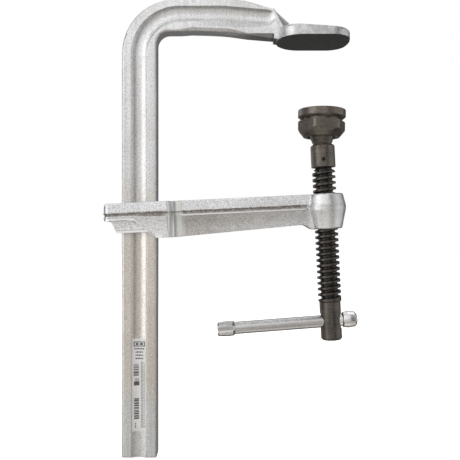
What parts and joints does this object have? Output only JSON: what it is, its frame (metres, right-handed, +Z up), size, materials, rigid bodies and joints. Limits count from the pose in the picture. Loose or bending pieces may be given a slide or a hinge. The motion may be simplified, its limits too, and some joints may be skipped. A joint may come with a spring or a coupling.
{
  "type": "bar clamp",
  "caption": "All-steel sliding-arm bar clamp: a grooved rail with a forged fixed jaw, a sliding arm with a screw, a sliding cross bar and a swivelling pressure plate.",
  "frame": {"origin": "centre of the fixed jaw's pressing face", "axes": "+Z up along the rail towards the fixed arm, +X from the rail to the jaws, +Y to the back"},
  "size_m": [0.1753, 0.0364, 0.3167],
  "materials": {
    "rail_zinc": "galvanised, satin",
    "arm_zinc": "galvanised forging, speckled",
    "bar_zinc": "zinc plated, bright",
    "black_steel": "black oxide, oiled",
    "label": "printed sticker"
  },
  "bodies": {
    "frame": {"rail_and_fixed_jaw": "rail_zinc", "rail_label": "label"},
    "arm": {"sliding_arm": "arm_zinc"},
    "stud": {"ball_stud": "black_steel", "stud_set_screw": "black_steel"},
    "screw": {"spindle": "black_steel"},
    "bar": {"tommy_bar": "bar_zinc"},
    "pad": {"hex_nut": "black_steel", "pressure_plate": "black_steel"}
  },
  "joints": [
    {"name": "arm_slide", "type": "slide", "parent": "frame", "child": "arm", "axis": [0, 0, -1], "range_m": [-0.012, 0.15]},
    {"name": "spindle_feed", "type": "slide", "parent": "arm", "child": "stud", "axis": [-0.048, 0, 0.9988], "range_m": [-0.0179, 0.0321]},
    {"name": "spindle_turn", "type": "hinge", "parent": "stud", "child": "screw", "pos_m": [0.00774, 0, -0.115], "axis": [-0.048, 0, 0.9988], "range_deg": [-1602, 2880]},
    {"name": "bar_slide", "type": "slide", "parent": "screw", "child": "bar", "axis": [0.9971, 0, 0.0767], "range_m": [0, 0.059]},
    {"name": "pad_tilt", "type": "hinge", "parent": "stud", "child": "pad", "pos_m": [0.00508, 0, -0.05971], "axis": [0, 1, 0], "range_deg": [-13.5, 5.5]}
  ],
  "couplings": [
    {"joint": "spindle_feed", "follows": "spindle_turn", "m_per_rad": 0.00063662}
  ]
}
